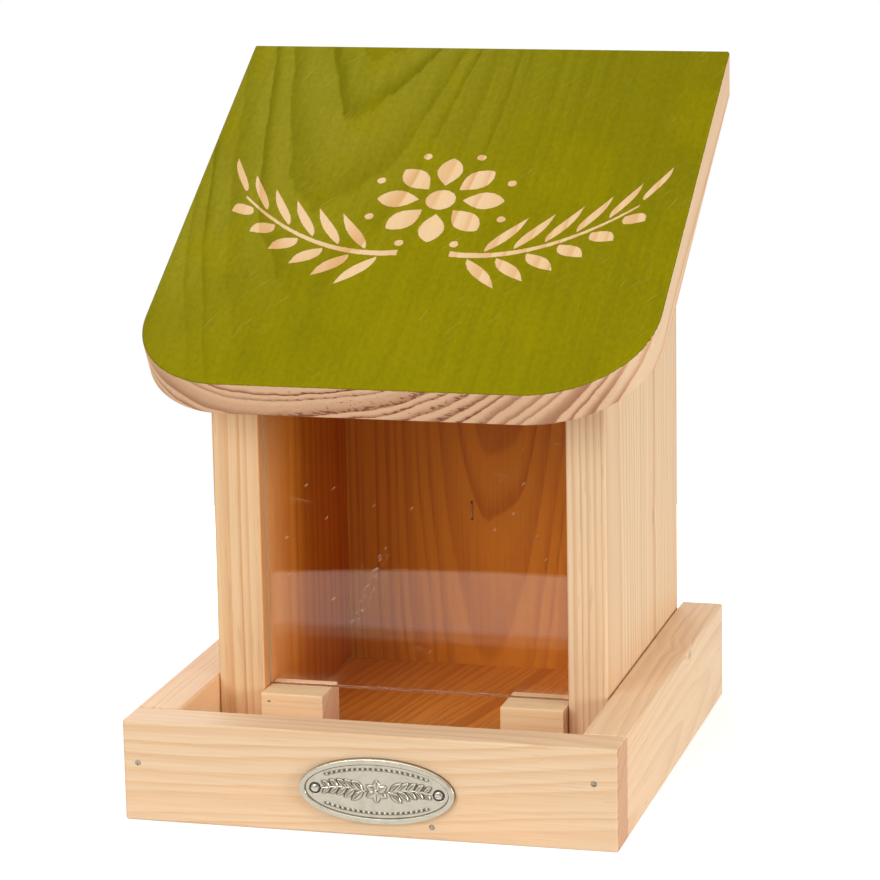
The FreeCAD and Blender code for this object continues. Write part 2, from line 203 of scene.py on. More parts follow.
def grainPoint(f, grain):
    # two ways across the grain and one along it, from Object coordinates
    x, y, z = f.split(f.coordinate("Object"))
    return {"x": (y, z, x), "y": (x, z, y), "z": (x, y, z)}[grain]


def endGrain(f, way):
    # 1 where a face looks along the grain
    return f.step(abs(f.dot(f.coordinate("Normal"), way)), *pineLook["endFacing"])


def knotDistance(v, w, knot):
    # squared distance from a knot in its own sizes, drawn out along the grain
    knotV, knotW, size = knot
    return ((v - knotV * mm) ** 2 + ((w - knotW * mm) * pineLook["knotLong"]) ** 2) / (size * mm) ** 2


def pineWood(f, look, u, v, w, ends):
    # colour, late wood from 0 to 1, height for the bump, and fibre
    p, seed = pineLook, look["seed"]
    point = f.join(u, v, w)

    def pattern(kind, shift, detail):
        return f.noise(f.scaled(point, p[kind], shift), 1.0, detail)

    fromPithU = u - w * look["lean"][0] - look["pith"][0] * mm
    fromPithV = v - w * look["lean"][1] - look["pith"][1] * mm
    radius = (fromPithU * fromPithU + fromPithV * fromPithV).use("SQRT")
    radius = radius + (pattern("bend", (seed, 0, 0), 1.0) - 0.5) * (look["wander"] * mm)
    radius = radius + (pattern("ripple", (0, seed, 0), 1.0) - 0.5) * (look["wander"] * p["rippleShare"] * mm)
    radius = radius + (pattern("ragged", (0, 0, seed), 2.0) - 0.5) * (look["frays"] * mm)
    for knot in look["knots"]:  # rings bend round it
        push = (knotDistance(v, w, knot) * -p["knotReach"]).use("EXPONENT")
        radius = radius + push * (look["ring"] * p["knotPush"] * mm)
    ring = radius / (look["ring"] * mm) + seed
    oneWay = {"noise_dimensions": "1D"}
    widths = f.node("TexNoise", oneWay, {"W": ring, "Scale": p["widthScale"], "Detail": 1.0})
    ring = ring + (widths - 0.5) * p["widthSpread"]
    phase = ring.use("FRACT")
    strength = f.node("TexWhiteNoise", oneWay, {"W": ring.use("FLOOR")})
    late = f.step(phase, *p["lateRise"]) ** look["sharp"] * (1 - f.step(phase, *p["lateFall"]))
    late = late * (p["lateWeakest"] + (1 - p["lateWeakest"]) * strength)

    fibre = pattern("fibre", (0, 0, seed), 2.0)
    tone = f.step(pattern("tone", (seed, seed, 0), 1.0), *p["toneRange"])
    dashes = f.step(pattern("dash", (seed, 0, seed), 0.0), *p["dashRange"])
    colour = f.blend(late * look["contrast"], look["early"], look["late"])
    colour = f.blend(tone * p["toneShare"], colour, look["warm"])
    colour = f.blend(dashes * p["dashShare"] * (1 - ends), colour, p["dashColour"])

    pores = pattern("pore", (0, 0, 0), 2.0)
    lateEnd = late ** look["endSharp"]
    torn = f.step(pattern("torn", (seed, 0, 0), 3.0) + lateEnd * p["tornLate"], *p["tornRange"])
    torn = torn * (1 - f.step(abs(u), p["tornTo"][0] * mm, p["tornTo"][1] * mm))
    endHoleShade = f.blend(lateEnd, look["endEarly"], look["endLate"])
    endHoleShade = f.blend(f.step(pores, *p["poreRange"]) * p["poreShare"], endHoleShade, look["endSpeck"])
    endHoleShade = f.blend(torn * look["endTorn"], endHoleShade, look["endSpeck"])

    shade = 1 + (fibre - 0.5) * p["fibreShade"] * (1 - ends)
    colour = f.shaded(f.blend(ends, colour, endHoleShade), shade)
    for knot in look["knots"]:
        heart = 1 - f.step(knotDistance(v, w, knot).use("SQRT"), *p["knotEdge"])
        colour = f.blend(heart * look["knotShade"], colour, look["knotColour"])
    height = (late + fibre) / 2 + pores * ends
    return colour, late, height, fibre


def pine(name, look):
    f, p = material(name), pineLook
    u, v, w = grainPoint(f, look["grain"])
    way = {"x": (1, 0, 0), "y": (0, 1, 0), "z": (0, 0, 1)}[look["grain"]]
    colour, late, height, fibre = pineWood(f, look, u, v, w, endGrain(f, way))
    if look["inner"]:  # a face with its own tones, partly stain and partly painted light and shade: deep orange inside the box, paler near the front
        y = f.split(f.coordinate("Object"))[1]
        facing = f.step(f.dot(f.coordinate("Normal"), look["inner"]), *p["innerFacing"])
        behind = f.step(y, look["innerFrom"] * mm, (look["innerFrom"] + p["innerEdge"]) * mm)
        deepShade = f.step(y, look["innerShadeFade"][0] * mm, look["innerShadeFade"][1] * mm)
        early = f.blend(deepShade, look["innerFrontLit"], look["innerEarly"])
        innerGrain = late * look["innerContrast"] + (fibre - 0.5) * p["innerFibre"]
        colour = f.blend(facing * behind, colour, f.blend(innerGrain, early, look["innerLate"]))
    return f.surface({
        "Base Color": colour, "Roughness": p["roughness"] - late * p["lateGloss"],
        "Normal": f.bump(height, p["bumpDepth"], p["bumpStrength"]), "Specular IOR Level": p["specular"]})


paleWood = {
    "early": srgb(243, 213, 174), "late": srgb(224, 174, 120), "warm": srgb(240, 196, 148),
    "contrast": 0.8, "sharp": 1.4, "wander": 7.0, "lean": (0.0, 0.0), "frays": 0.25,
    "endEarly": srgb(233, 196, 160), "endLate": srgb(212, 162, 124), "endSpeck": srgb(170, 112, 78),
    "endSharp": 1.0, "endTorn": 0.0,
    "knots": (), "knotShade": 0.5, "knotColour": srgb(178, 150, 112),
    # inner tones: deep orange inside the box, partly stain and partly painted shade, paler near the front as
    # painted light
    "inner": None, "innerFrom": -34.0, "innerShadeFade": (-36.0, 14.0), "innerContrast": 0.65,
    "innerFrontLit": srgb(221, 160, 103), "innerEarly": srgb(218, 137, 39), "innerLate": srgb(178, 89, 16),
}
# pale tones: partly their own paler wood, partly painted light where the tray front and roof shade them
paleLitBlock = dict(
    paleWood, grain="x", wander=2.5, contrast=0.45,
    early=srgb(255, 224, 178), late=srgb(246, 194, 138), warm=srgb(252, 210, 160))

# One entry per board: grain axis, place of the pith across the grain, ring width, and its own tones.
# A knot is its place across and along the grain, and its size.
boards = {
    "tray_front": dict(
        paleWood, grain="x", pith=(-40, -30), ring=3.1, lean=(0.0, 0.04), wander=12.0, seed=1.3,
        early=srgb(234, 202, 165), late=srgb(218, 165, 114), contrast=0.55,
        endEarly=srgb(219, 173, 136), endLate=srgb(199, 143, 105)),
    "tray_side_right": dict(
        paleWood, grain="y", pith=(101, 9), ring=2.9, lean=(0.05, 0.09), seed=4.7,
        early=srgb(242, 211, 174), late=srgb(224, 172, 127), contrast=0.5,
        knots=((31, 28, 2.2),), knotShade=0.7),
    "tray_side_left": dict(
        paleWood, grain="y", pith=(-104, 14), ring=3.0, lean=(-0.04, 0.05), seed=7.9,
        early=srgb(241, 206, 165), late=srgb(220, 159, 110),
        # its inner face paler than its outside: painted light
        inner=(1, 0, 0), innerFrom=-90, innerShadeFade=(-92, -90),
        innerEarly=srgb(252, 218, 168), innerLate=srgb(244, 186, 130)),
    "wall_left": dict(
        paleWood, grain="z", pith=(-128, -24), ring=4.1, wander=3.0, seed=2.2, inner=(1, 0, 0),
        early=srgb(243, 210, 164), late=srgb(216, 154, 96), contrast=0.95),
    "wall_right": dict(
        paleWood, grain="z", pith=(103, -22), ring=2.3, wander=3.0, seed=5.1, inner=(-1, 0, 0),
        early=srgb(243, 211, 171), late=srgb(214, 162, 114), contrast=0.75, sharp=2.2,
        knots=((41, 75, 2.2),)),
    "back_board": dict(
        paleWood, grain="z", pith=(1, 111.2), ring=2.5, lean=(0.03, -0.06), seed=9.4, inner=(0, -1, 0)),
    "floor_board": dict(
        paleWood, grain="y", pith=(-95, -30), ring=3.3, lean=(0.16, 0.04), wander=11.0, seed=3.6,
        # its upper face deep orange: partly stain, partly painted shade
        inner=(0, 0, 1), innerFrom=-90, innerContrast=0.55,
        innerEarly=srgb(246, 168, 76), innerLate=srgb(190, 103, 34)),
    "pane_block_left": dict(
        paleLitBlock, pith=(-62, 52), ring=2.6, seed=6.4,
        knots=((26.8, -46.8, 0.5),), knotShade=0.9, knotColour=srgb(96, 58, 30)),
    "pane_block_right": dict(paleLitBlock, pith=(-58, 64), ring=2.8, seed=8.8),
}
for boardName, boardLook in boards.items():
    dress(boardName, pine(boardName + "_pine", boardLook))
print("pine boards dressed:", len(boards))


# Roof: painted on top through a stencil, bare pine elsewhere. Its own axes are x across, s up the slope from
# the front edge, and h above the painted face.

roofLook = {
    "slope": math.radians(30.6), "length": 173.3,
    "paintEarly": srgb(141, 131, 3), "paintLate": srgb(118, 112, 8), "paintDark": srgb(122, 116, 6),
    "paintWornSheen": srgb(150, 144, 46), "paintYellow": srgb(147, 136, 1), "scratch": srgb(176, 170, 84),
    "bareStain": srgb(226, 186, 118), "bareShare": 0.4,   # what the paint left in the bare shapes
    "paintRoughness": 0.5, "specular": 0.015,
    # how quickly each pattern changes along x, s and h, per metre
    "streak": (420, 9, 420), "mottle": (700, 380, 700), "blotch": (26, 14, 26), "patch": (42, 24, 42),
    "streakShade": 0.24, "mottleShade": 0.4,
    "blotchRange": (0.45, 0.75), "blotchShare": 0.5,
    "patchShift": (5, 0, 0), "patchRange": (0.48, 0.68), "patchShare": 0.5,
    "thinWay": (-6.0, 4.5, 0.0), "thinRange": (0.25, 0.95),    # thinnest up on the left, where it is also paler: partly worn paint, partly a painted sheen
    "lateThick": 0.22, "wornSheenShare": 0.45,
    "shadeWay": (5.0, 3.0, 0.0), "shadeRange": (0.2, 0.85), "shadeShare": 0.6,  # painted shade, darkest up on the right
    "scratchWays": ((0.35, 0.94), (0.64, 0.77)), "scratchAlong": 75, "scratchAcross": 2100,
    "scratchRange": (0.73, 0.84), "scratchShare": 0.4,
    "scratched": (30, 30, 0), "scratchedShift": (0, 7, 0), "scratchedRange": (0.46, 0.6),
    "paintEdge": 0.55, "edgeSoft": 0.06, "edgeNoise": 900.0, "edgeRagged": 0.3,  # down over the eased edge
    "edgeShadeLevel": 0.72, "edgeShadeTo": 0.12,    # painted shade there, darkest lowest on the edge, up to this depth
    "paintRise": 0.6, "streakRise": 0.4, "bumpDepth": 0.16, "bumpStrength": 0.5,
}
roofPine = dict(
    paleWood, pith=(-30, 78), lean=(-0.05, -0.09), ring=4.2, wander=9.0, seed=0.35, sharp=1.9, contrast=0.95,
    early=srgb(246, 213, 176), late=srgb(216, 154, 106), warm=srgb(236, 190, 144), frays=0.7,
    endEarly=srgb(233, 192, 154), endLate=srgb(156, 96, 66), endSpeck=srgb(124, 64, 44),
    endSharp=0.95, endTorn=0.75)
motifLook = {
    "centre": (1.0, 92.0),       # across the roof and up the slope
    "edge": 0.12, "hair": 0.01,
    "bleedScale": 0.9, "bleed": 0.5,
    "petals": 8, "petalFrom": 7.0, "petalTo": 21.5, "petalWidth": 4.6, "petalLean": 1.3, "petalBlunt": 0.7,
    "petalTrim": 0.3, "core": 5.0, "berryAt": 24.0, "berry": 1.5,
    "sprayFrom": 9.0, "sprayTo": 66.0, "sprayCurve": (34.0, -8.0, -27.0),
    "stem": 1.0, "stemStart": 1.3, "stemTaper": 0.7,
    "leafPitch": 9.5, "leafCount": 6, "leafLength": 15.0, "leafStart": 1.05, "leafTaper": 0.5,
    "leafWidth": 2.9, "leafLean": 0.75, "leafGap": 1.7, "leafTip": 0.8, "leafTrim": 0.25,
}


def stencil(f, x, s):
    # 1 where the wood is left bare, all in mm: petals round a core, berries between them, and on each side a
    # stem whose leaves repeat along it. A shape is the sign of (half-width - distance from its middle line).
    m = motifLook
    across = x / mm - m["centre"][0]
    up = s / mm - m["centre"][1]
    bleed = (f.noise(f.join(across, up, 0.0), m["bleedScale"], 1.0) - 0.5) * m["bleed"]

    def inside(room):
        return f.step(room + bleed, -m["edge"], m["edge"])

    def clamped(value):
        return f.node("Clamp", {}, {0: value})

    rho = (across * across + up * up).use("SQRT")
    sector = 2 * math.pi / m["petals"]
    turn = up.use("ARCTAN2", across) / sector
    offPetal = abs((turn + 0.5).use("FRACT") - 0.5) * sector * rho
    alongPetal = clamped((rho - m["petalFrom"]) / (m["petalTo"] - m["petalFrom"]))
    petalHalf = (alongPetal ** m["petalLean"] * math.pi).use("SINE") ** m["petalBlunt"] * m["petalWidth"]
    petals = inside(petalHalf - offPetal - m["petalTrim"])
    core = inside(m["core"] - rho)
    offBerry = abs(turn.use("FRACT") - 0.5) * sector * rho
    berries = inside(m["berry"] - (offBerry ** 2 + (rho - m["berryAt"]) ** 2).use("SQRT"))

    side = abs(across)
    share = (side - m["sprayFrom"]) / (m["sprayTo"] - m["sprayFrom"])
    square, slant, start = m["sprayCurve"]  # stem height = square * share ** 2 + slant * share + start
    off = up - (share * share * square + share * slant + start)
    within = f.step(share, -m["hair"], 0.0) * (1 - f.step(share, 1.0, 1 + m["hair"]))
    stems = inside(m["stem"] * (m["stemStart"] - m["stemTaper"] * share) - abs(off)) * within
    upper = f.step(off, -m["hair"], m["hair"])  # upper leaves stand between the lower ones
    cell = (side - m["sprayFrom"] - abs(off) * m["leafLean"]) / m["leafPitch"] - upper * 0.5
    number = cell.use("FLOOR")
    leafLong = m["leafLength"] * (m["leafStart"] - number * (m["leafTaper"] / m["leafCount"]))
    alongLeaf = clamped((abs(off) - m["leafGap"]) / leafLong)
    leafHalf = (alongLeaf ** m["leafTip"] * math.pi).use("SINE") * m["leafWidth"]
    offLeaf = abs(cell.use("FRACT") - 0.5) * m["leafPitch"]
    counted = number.use("GREATER_THAN", -0.5) * number.use("LESS_THAN", m["leafCount"] - 0.5)
    leaves = inside(leafHalf - offLeaf - m["leafTrim"]) * counted
    flower = petals.use("MAXIMUM", core).use("MAXIMUM", berries)
    return flower.use("MAXIMUM", stems.use("MAXIMUM", leaves))


def roofPaint(f, local, late, streaks):
    # the paint's colour, before its stencil
    r = roofLook
    x, s, h = f.split(local)
    mottle = f.noise(f.scaled(local, r["mottle"]), 1.0, 4.0)
    blotch = f.step(f.noise(f.scaled(local, r["blotch"]), 1.0, 2.0), *r["blotchRange"])
    patches = f.step(f.noise(f.scaled(local, r["patch"], r["patchShift"]), 1.0, 3.0), *r["patchRange"])
    thin = f.step(f.dot(local, r["thinWay"]), *r["thinRange"])
    # painted shade: the paint darker up on the right of the roof
    shadeUpRight = f.step(f.dot(local, r["shadeWay"]), *r["shadeRange"])
    grainShows = late * (r["lateThick"] + (1 - r["lateThick"]) * thin)
    paint = f.blend(grainShows, r["paintEarly"], r["paintLate"])
    # paler where the paint is thin: partly worn paint, partly a painted sheen
    paint = f.blend(thin * (1 - late) * r["wornSheenShare"], paint, r["paintWornSheen"])
    # blotches in the paint, and the painted shade up on the right
    dark = (blotch * r["blotchShare"]).use("MAXIMUM", shadeUpRight * r["shadeShare"])
    paint = f.blend(dark, paint, r["paintDark"])
    paint = f.blend(patches * r["patchShare"], paint, r["paintYellow"])
    # painted shade where the paint rounds over the eased edge
    edgeShade = r["edgeShadeLevel"] + (1 - r["edgeShadeLevel"]) * f.step(h / mm, -r["paintEdge"], -r["edgeShadeTo"])
    shade = 1 + (streaks - 0.5) * r["streakShade"] + (mottle - 0.5) * r["mottleShade"]
    paint = f.shaded(paint, shade * edgeShade)
    scuffs = 0.0
    for along, across in r["scratchWays"]:
        lengthwise = (x * along + s * across) * r["scratchAlong"]
        sideways = (x * across - s * along) * r["scratchAcross"]
        scuffs = scuffs + f.step(f.noise(f.join(lengthwise, sideways, 0.0), 1.0, 0.0), *r["scratchRange"])
    where = f.noise(f.scaled(local, r["scratched"], r["scratchedShift"]), 1.0, 0.0)
    scuffs = scuffs * f.step(where, *r["scratchedRange"])
    return f.blend(scuffs * r["scratchShare"], paint, r["scratch"])


def paintedRoof():
    f, r = material("roof_paint"), roofLook
    slope = r["slope"]
    upSlope = Vector((0, math.cos(slope), math.sin(slope)))
    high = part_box("roof_board")[1]  # its rear edge on the painted face
    frontEdge = Vector((0, high.y, high.z)) - upSlope * r["length"] * mm
    turned = Matrix.Rotation(-slope, 3, "X") @ frontEdge
    local = f.node("Mapping", {}, {
        "Vector": f.coordinate("Object"), "Location": -turned, "Rotation": (-slope, 0, 0)})
    x, s, h = f.split(local)
    wood, late, height, _ = pineWood(f, roofPine, x, h, s, endGrain(f, upSlope))
    streaks = f.noise(f.scaled(local, r["streak"]), 1.0, 3.0)
    paint = roofPaint(f, local, late, streaks)
    ragged = (f.noise(local, r["edgeNoise"], 1.0) - 0.5) * r["edgeRagged"]
    onTop = f.step(h / mm + ragged, -r["paintEdge"] - r["edgeSoft"], -r["paintEdge"] + r["edgeSoft"])
    painted = onTop * (1 - stencil(f, x, s))
    bare = f.blend(onTop * r["bareShare"], wood, r["bareStain"])
    rise = height + painted * r["paintRise"] + streaks * painted * r["streakRise"]
    return f.surface({
        "Base Color": f.blend(painted, bare, paint),
        "Roughness": pineLook["roughness"] + painted * (r["paintRoughness"] - pineLook["roughness"]),
        "Normal": f.bump(rise, r["bumpDepth"], r["bumpStrength"]), "Specular IOR Level": r["specular"]})


dress("roof_board", paintedRoof())
print("roof painted")


# Clear pane: smooth faces with a few dust specks, sawn edges with a painted reflection and shade of the wood
# round them

paneLook = {
    "tint": srgb(252, 252, 250), "ior": 1.49, "edgeRoughness": 0.05,
    "passes": (0.92, 0.92, 0.91, 1),    # what lamps send through it
    "facing": (0.6, 0.95),
    # edgeReflection: painted reflection and shade of the wood on the sawn edges
    "dullColour": srgb(248, 226, 196), "edgeReflection": srgb(158, 96, 52), "dustRoughness": 0.8, "edgeReflectionShare": 0.68,
    "spread": 40.0,                     # where specks and wiped hairs gather, per metre
    "speckScale": 90.0, "speckSize": (0.012, 0.03), "speckSpread": (0.5, 0.6), "speckShare": 0.5,
    "hairX": (60, 300), "hairZ": (-12, 1500),   # along and across a hair, per metre of x and of z
    "hairRange": (0.74, 0.82), "hairSpread": (0.52, 0.62), "hairShare": 0.14,
    "trailTop": (-9.4, 77.5), "trailFoot": (-21.2, 48.6),   # a trail of grains, x and z
    "trailCore": 0.4, "trailWidth": 2.2, "trailStart": 1.0, "trailEnd": 0.03,
    "grainScale": 460.0, "grainSize": (0.05, 0.15),
}


def paneDustAndEdgeReflection(f, face, outer):
    # how much of the surface is dust, and on the edges a painted reflection and shade of the wood
    p = paneLook
    x, _, z = f.split(f.coordinate("Object"))
    flat = f.join(x, z, 0.0)
    spread = f.noise(flat, p["spread"], 1.0)
    specks = (1 - f.step(f.cells(flat, p["speckScale"]), *p["speckSize"])) * f.step(spread, *p["speckSpread"])
    lengthwise = x * p["hairX"][0] + z * p["hairZ"][0]
    sideways = x * p["hairX"][1] + z * p["hairZ"][1]
    hairs = f.step(f.noise(f.join(lengthwise, 0.0, sideways), 1.0, 0.0), *p["hairRange"])
    hairs = hairs * f.step(spread, *p["hairSpread"])
    top, foot = Vector(p["trailTop"]), Vector(p["trailFoot"])
    way = (foot - top).normalized()
    fromTopX, fromTopZ = x / mm - top.x, z / mm - top.y
    along = fromTopX * way.x + fromTopZ * way.y
    aside = abs(fromTopX * way.y - fromTopZ * way.x)
    share = along / (foot - top).length
    trail = f.step(along, -p["trailStart"], p["trailStart"])
    trail = trail * (1 - f.step(share, 1 - p["trailEnd"], 1 + p["trailEnd"]))
    trail = trail * (1 - f.step(aside, p["trailCore"], p["trailWidth"]))
    grains = (1 - f.step(f.cells(flat, p["grainScale"]), *p["grainSize"])) * trail
    specks = specks.use("MAXIMUM", grains) * outer
    onFaces = (specks * p["speckShare"]).use("MAXIMUM", hairs * p["hairShare"])
    # the edges take the painted reflection and shade
    return onFaces.use("MAXIMUM", (1 - face) * p["edgeReflectionShare"])


def clearPane():
    f, p = material("pane_acrylic"), paneLook
    towardsFront = f.dot(f.coordinate("Normal"), (0, -1, 0))
    face = f.step(abs(towardsFront), *p["facing"])
    outer = f.step(towardsFront, *p["facing"])
    glass = f.node("BsdfPrincipled", {}, {
        "Base Color": p["tint"], "Roughness": (1 - face) * p["edgeRoughness"],
        "IOR": p["ior"], "Transmission Weight": 1.0})
    # dust on the faces, painted reflection and shade on the edges
    dullColour = f.blend(face, p["edgeReflection"], p["dullColour"])
    dull = f.node("BsdfPrincipled", {}, {"Base Color": dullColour, "Roughness": p["dustRoughness"]})
    sheet = f.node("MixShader", {}, {0: paneDustAndEdgeReflection(f, face, outer), 1: glass, 2: dull})
    clear = f.node("BsdfTransparent", {}, {"Color": p["passes"]})
    lampLight = f.rayKind("Is Shadow Ray")  # shines through it
    shader = f.node("MixShader", {}, {0: lampLight, 1: sheet, 2: clear})
    f.node("OutputMaterial", {}, {"Surface": shader})
    return f.owner


dress("pane", clearPane())
print("pane cleared")


# Metal

steelLook = {
    "nail": {"colour": srgb(176, 166, 150), "stain": srgb(126, 106, 86), "roughness": 0.42, "scale": 1400.0},
    "pin": {"colour": srgb(206, 202, 192), "stain": srgb(150, 140, 124), "roughness": 0.22, "scale": 1400.0},
    "hinge": {"colour": srgb(198, 195, 184), "stain": srgb(185, 180, 166), "roughness": 0.34, "scale": 420.0},
    "screw": {"colour": srgb(186, 168, 122), "stain": srgb(150, 132, 92), "roughness": 0.3, "scale": 700.0},
}
steelGrain = {
    "metallic": 0.9, "stainRange": (0.42, 0.68), "cloudMiddle": 0.4, "cloudRoughness": 0.5,
    "gritTimes": 9, "bumpDepth": 0.03, "bumpStrength": 0.4,
}


def steel(kind):
    f, look, g = material(kind + "_steel"), steelLook[kind], steelGrain
    place = f.coordinate("Object")
    cloud = f.noise(place, look["scale"], 3.0)
    grit = f.noise(place, look["scale"] * g["gritTimes"], 2.0)
    return f.surface({
        "Base Color": f.blend(f.step(cloud, *g["stainRange"]), look["colour"], look["stain"]),
        "Metallic": g["metallic"],
        "Roughness": look["roughness"] + (cloud - g["cloudMiddle"]) * g["cloudRoughness"],
        "Normal": f.bump(grit, g["bumpDepth"], g["bumpStrength"])})


nailSteel, hingeSteel, screwSteel = steel("nail"), steel("hinge"), steel("screw")
for nailName in ("tray_nails", "floor_nails", "block_nails"):
    dress(nailName, nailSteel)
for hingeName in [name for name in nodes if name.startswith("hinge_")]:
    dress(hingeName, screwSteel if "screws" in hingeName else hingeSteel)

stapleLook = {
    "colour": srgb(226, 196, 168), "endHoleShade": srgb(60, 26, 10), "roughness": 0.3, "endRoughness": 0.4,
    "endFrom": 1.3, "endTo": 0.5, "endDull": 0.8,
}


def stapleWire():
    # bright wire, its two ends painted dark as the shade of the holes where they go into the wood
    f, look = material("staple_wire"), stapleLook
    low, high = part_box("back_staple")
    half = (high.z - low.z) / 2
    fromMiddle = abs(f.split(f.coordinate("Object"))[2] - (high.z + low.z) / 2)
    ends = f.step(fromMiddle, half - look["endFrom"] * mm, half - look["endTo"] * mm)
    return f.surface({
        "Base Color": f.blend(ends, look["colour"], look["endHoleShade"]),
        "Metallic": 1 - ends * look["endDull"],
        "Roughness": look["roughness"] + ends * look["endRoughness"]})


dress("back_staple", stapleWire())
print("steel dressed")


# Oval cast plate: rings of an ellipse from the middle of its face out over the rim and round to its back

plateLook = {
    "around": 480, "fieldRings": 110, "rimRings": 30, "backRings": (0.97, 0.5),
    "base": 1.2, "rim": 0.7, "rimWidth": 1.7, "edgeRound": 0.4, "innerSlope": 0.3,
    "relief": 0.55,                                  # rises below are shares of it
    "petals": 6, "petalTurn": math.pi / 6, "petalLength": 3.7, "petalWidth": 1.2,
    "button": 1.0, "buttonRise": 1.25,
    "leafPairs": 5, "firstLeaf": 4.4, "leafStep": 2.7, "leafLean": 0.75, "leafTaper": 0.09,
    "leafLength": 4.8, "leafWidth": 1.2, "leafTip": 0.8, "leafLeast": 0.02,
    "veinDepth": 0.5, "veinWidth": 0.16,
    "stemWave": 0.9, "stemTurn": 0.62, "stemStart": 0.8, "stemHalf": 0.32, "stemRise": 0.6,
    "beads": 56, "beadInset": 3.5, "bead": 0.5, "beadRise": 0.7, "beadReach": 16.5, "beadSteps": 2000,
    "pinSpacing": 40.0, "seatFrom": 1.3, "seatTo": 1.75, "seatSoft": 1.2, "seatPower": 6, "seatDepth": 0.5,
    "metal": srgb(193, 187, 171), "dull": srgb(74, 68, 56),
    "dirtShadeSpread": 5, "dirtShadeDepth": 0.07, "dirtShadeShare": 0.85,
    "cloudScale": 320.0, "cloudRange": (0.45, 0.8), "cloudShare": 0.15, "sandScale": 3800.0, "cloudRise": 0.6,
    "roughness": 0.22, "cloudRoughness": 0.14, "dirtRoughness": 0.2, "bumpDepth": 0.05, "bumpStrength": 0.4,
}


def closedRings(name, rings, front, back):
    # a closed surface from rings of points and one point at each end
    count, around = rings.shape[:2]
    number = np.arange(count * around).reshape(count, around)
    following = np.roll(number, -1, axis=1)
    quads = np.stack((number[:-1], number[1:], following[1:], following[:-1]), -1).reshape(-1, 4)
    first, last = count * around, count * around + 1
    caps = np.stack((np.full(around, first), number[0], following[0]), -1).tolist()
    caps += np.stack((np.full(around, last), following[-1], number[-1]), -1).tolist()
    points = np.concatenate((rings.reshape(-1, 3), [front, back]))
    mesh = bpy.data.meshes.new(name)
    mesh.from_pydata(points.tolist(), [], quads.tolist() + caps)
    mesh.polygons.foreach_set("use_smooth", np.ones(len(mesh.polygons), bool))
    piece = bpy.data.objects.new(name, mesh)
    bpy.context.scene.collection.objects.link(piece)
    return piece


def dome(far):
    # a half-round over 0 to 1: sqrt(1 - far ** 2)
    return np.sqrt(np.clip(1 - far ** 2, 0, 1))


def leafRise(x, z, root, angle, length, width):
    # almond leaf, domed across, with a vein down it: half-width = width * sin(pi * share of length) ** tip
    look = plateLook
    along = (x - root[0]) * math.cos(angle) + (z - root[1]) * math.sin(angle)
    across = (z - root[1]) * math.cos(angle) - (x - root[0]) * math.sin(angle)
    share = np.clip(along / length, 0, 1)
    half = width * np.sin(np.pi * share) ** look["leafTip"] + 1e-6
    vein = 1 - look["veinDepth"] * np.exp(-(across / (look["veinWidth"] * width)) ** 2)
    return dome(across / half) * vein * (half > look["leafLeast"] * width)


def plateRelief(x, z, long, tall):
    # a rosette with a sprig on each side, a row of beads, and the seats round the pins
    look = plateLook
    rise = np.zeros_like(x)
    for petal in range(look["petals"]):
        angle = 2 * math.pi * petal / look["petals"] + look["petalTurn"]
        rise = np.maximum(rise, leafRise(x, z, (0, 0), angle, look["petalLength"], look["petalWidth"]))
    rise = np.maximum(rise, look["buttonRise"] * dome(np.hypot(x, z) / look["button"]))
    side = np.abs(x)
    first, step, pairs = look["firstLeaf"], look["leafStep"], look["leafPairs"]
    for pair in range(pairs):
        root = (first + pair * step, look["stemWave"] * math.sin(look["stemTurn"] * pair))
        size = 1 - look["leafTaper"] * pair
        for lean in (look["leafLean"], -look["leafLean"]):
            length, width = look["leafLength"] * size, look["leafWidth"] * size
            rise = np.maximum(rise, leafRise(side, z, root, lean, length, width))
    stem = look["stemWave"] * np.sin(look["stemTurn"] * (side - first) / step)
    stemHere = (side > first - look["stemStart"]) & (side < first + pairs * step)
    rise = np.maximum(rise, look["stemRise"] * dome((z - stem) / look["stemHalf"]) * stemHere)
    # beads follow the rim, spaced evenly along an ellipse inside it, and leave the ends to the pins
    turn = np.linspace(0, 2 * np.pi, look["beadSteps"])
    beadX = (long - look["beadInset"]) * np.cos(turn)
    beadZ = (tall - look["beadInset"]) * np.sin(turn)
    walked = np.concatenate(([0], np.cumsum(np.hypot(np.diff(beadX), np.diff(beadZ)))))
    places = (np.arange(look["beads"]) + 0.5) / look["beads"] * walked[-1]
    for bead in zip(np.interp(places, walked, beadX), np.interp(places, walked, beadZ)):
        if abs(bead[0]) < look["beadReach"]:
            far = np.hypot(x - bead[0], z - bead[1]) / look["bead"]
            rise = np.maximum(rise, look["beadRise"] * dome(far))
    fromPin = np.hypot(side - look["pinSpacing"] / 2, z)
    seatMiddle = (look["seatFrom"] + look["seatTo"]) / 2
    seatHalf = (look["seatTo"] - look["seatFrom"]) / 2
    seat = np.exp(-((fromPin - seatMiddle) / (seatHalf * look["seatSoft"])) ** look["seatPower"])
    return rise * look["relief"] - seat * look["seatDepth"]


